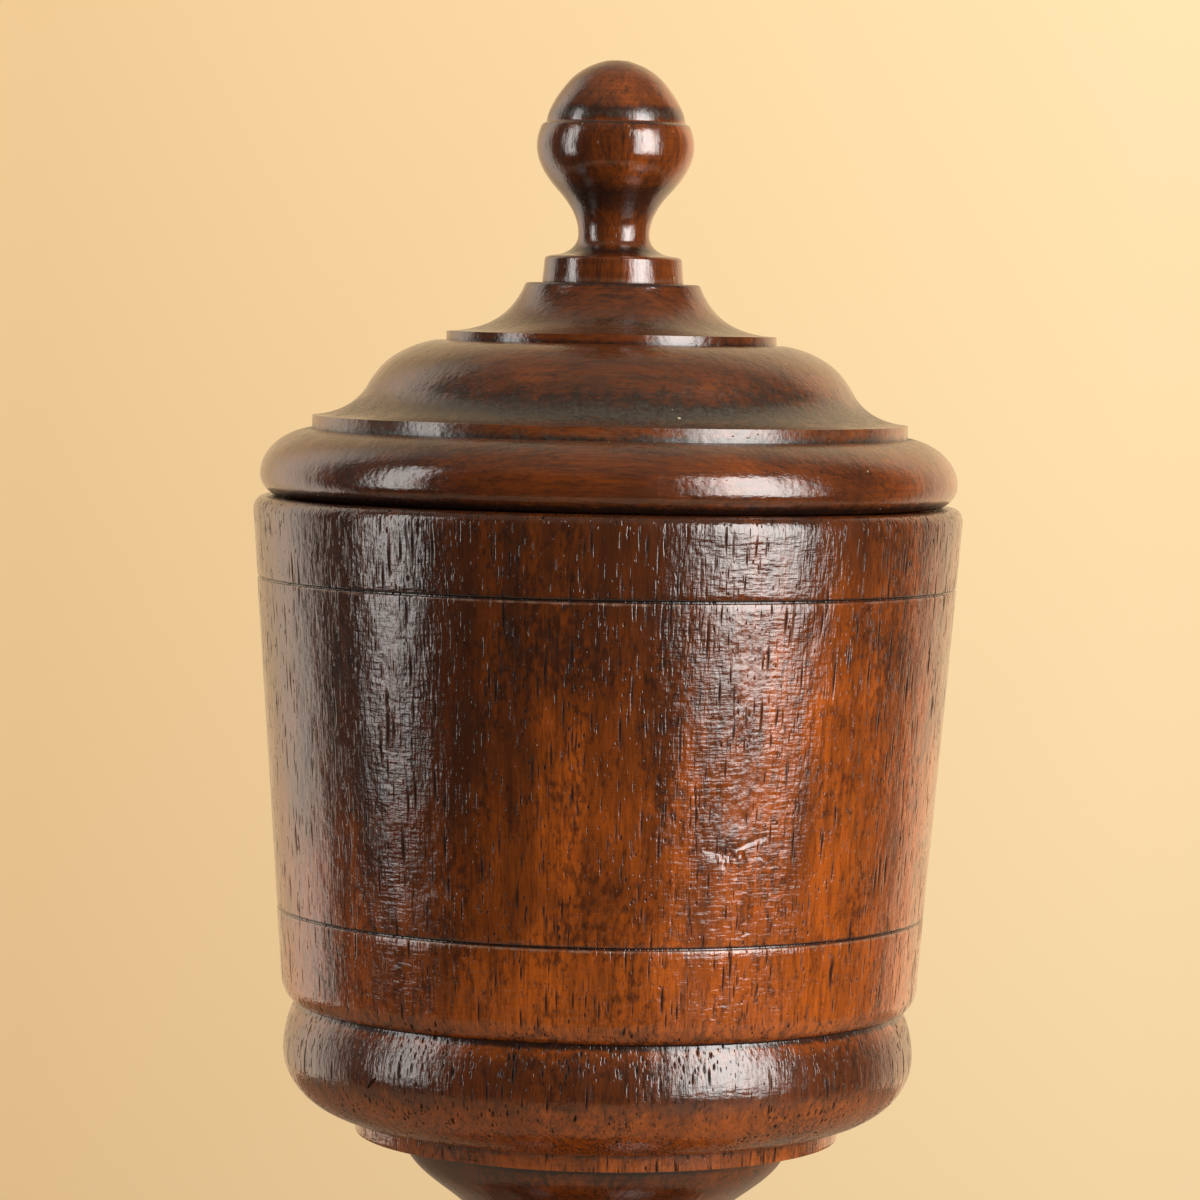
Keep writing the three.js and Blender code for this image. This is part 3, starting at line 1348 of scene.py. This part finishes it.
LID_FINISH = WoodFinish(
    name="lid_wood",
    grain=Grain.FLAT,
    dark=(0.028, 0.0085, 0.0034),
    middle=(0.085, 0.019, 0.003),
    light=(0.16, 0.035, 0.004),
    gloss=0.17,
    pores=(Pores(0.9, 10.0, 0.2),),
    pore_depth=0.015,
    ripple=0.035,
    fibre=0.055,
    lump=0.055,
    specular=0.42,
    blotch=0.4,
    spots=(
        Spot((-11.4, -81.8, 245.1), 1.0),
        Spot((11.0, -81.0, 243.8), 0.4),
        Spot((15.3, -60.0, 263.5), 0.5),
        Spot((-47.2, -40.0, 264.2), 0.4),
    ),
    shade_low=0.4,
    shade_high=1.3,
    # Painted light towards the right, painted shade towards the left.
    shade_lean=(0.002, 0.0, 0.0),
    dirt=(
        Ring(70, 258, 1.8),
        Ring(39.2, 279, 1.5),
        Ring(79, 243, 2.6),
        Ring(20.5, 293.2, 1.0),
        Ring(60.5, 264.5, 7.5, 0.85, 0.8),
    ),
    # Dust in the coves and quirks, spread wide as a painted pale sheen.
    dust=(
        Ring(63.0, 262.8, 8.0, 0.6, 0.3),
        Ring(30.0, 283.2, 8.0, 0.45, 0.3),
        Ring(73.0, 257.6, 7.0, 0.45, 0.3),
        Ring(70.7, 256.2, 1.0, 0.9, 0.8),
        Ring(41.0, 277.2, 0.9, 0.7, 0.8),
        # A pale film over the whole dome: painted sheen, and dust.
        Ring(50.0, 273.0, 16.0, 0.16, 0.2),
    ),
    seed=31.0,
)

FINIAL_FINISH = WoodFinish(
    name="finial_wood",
    grain=Grain.UPRIGHT,
    dark=(0.026, 0.0075, 0.003),
    middle=(0.1, 0.022, 0.003),
    light=(0.21, 0.045, 0.0045),
    gloss=0.15,
    pores=(Pores(0.9, 9.0, 0.17),),
    pore_depth=0.02,
    ripple=0.008,
    fibre=0.04,
    lump=0.045,
    blotch=0.25,
    shade_low=0.3,
    shade_high=1.2,
    # Painted light towards the right, painted shade towards the left.
    shade_lean=(0.02, 0.0, 0.0),
    dirt=(
        Ring(16.2, 332.6, 2.6, 0.9, 0.3),
        Ring(17.2, 330.2, 0.8),
        Ring(11.0, 300.8, 2.4, 0.95),
        # Darkens the knob's lower part.
        Ring(11.5, 313.0, 6.4, 0.85, 0.25),
    ),
    dust=(Ring(16.4, 332.2, 1.5, 0.3, 0.8), Ring(3.0, 344.5, 8.0, 0.45), Ring(16.6, 293.6, 1.0, 0.4)),
    seed=57.0,
)

FOOT_FINISH = WoodFinish(
    name="foot_wood",
    grain=Grain.UPRIGHT,
    dark=(0.026, 0.0075, 0.003),
    middle=(0.085, 0.019, 0.0026),
    light=(0.18, 0.039, 0.0042),
    gloss=0.2,
    pores=(Pores(0.9, 10.0, 0.19),),
    pore_depth=0.035,
    ripple=0.03,
    fibre=0.03,
    lump=0.05,
    lathe=0.4,
    shade_low=0.3,
    shade_high=1.25,
    # Painted light towards the right, painted shade towards the left.
    shade_lean=(0.004, 0.0, 0.0),
    dirt=(Ring(57, 14.5, 2.4), Ring(21.6, 50, 1.6), Ring(21.0, 57, 1.6), Ring(46, 92, 1.4)),
    seed=83.0,
)

# Each gouge: its shape, azimuth, height, radius and half-size, and how it lies.
GOUGES = (
    Gouge(Cutter.PEBBLE, 25.0, *mm(170.4, 78.4), mm(6.2, 1.3, 1.7), roll=-20),
    Gouge(Cutter.EDGE, 18.2, *mm(167.2, 79.47), mm(4.5, 2.0, 1.7), roll=12.4, tip=-8, swing=6.2),
    Gouge(Cutter.EDGE, 20.6, *mm(165.4, 79.02), mm(0.5, 2.0, 1.7), roll=4, tip=-6, swing=5),
    Gouge(Cutter.PEBBLE, 23.4, *mm(167.8, 77.9), mm(1.3, 1.0, 1.5), roll=30),
    Gouge(Cutter.EDGE, 25.6, *mm(166.9, 79.3), mm(2.2, 2.0, 0.5), roll=-4, tip=-8, swing=2),
    Gouge(Cutter.PEBBLE, -43.5, *mm(112.6, 74.2), mm(2.9, 1.1, 0.5), roll=-42),
)


def main() -> None:
    """Builds the camera, the urn's pieces and the studio, and reports each piece."""
    logging.basicConfig(level=logging.INFO, format="%(name)s %(message)s")
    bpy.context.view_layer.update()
    Viewpoint().build()
    Foot("urn_foot", "foot", "foot_wood", FOOT_FINISH, 256).build()
    Bowl("urn_bowl", "bowl", "bowl_wood", BOWL_FINISH, 360, gouges=GOUGES).build()
    Lid("urn_lid", "lid", "lid_wood", LID_FINISH, 320).build()
    Finial("urn_finial", "finial", "finial_wood", FINIAL_FINISH, 160).build()
    Studio(
        boxes=(
            Softbox("left_box", azimuth=-71, width=0.27, foot=0.0, head=0.93, radiance=7.8),
            Softbox("right_box", azimuth=47, width=0.6, foot=0.03, head=0.93, radiance=16),
        )
    ).build()
    bpy.context.scene.view_settings.view_transform = "Standard"


if __name__ == "__main__":
    main()
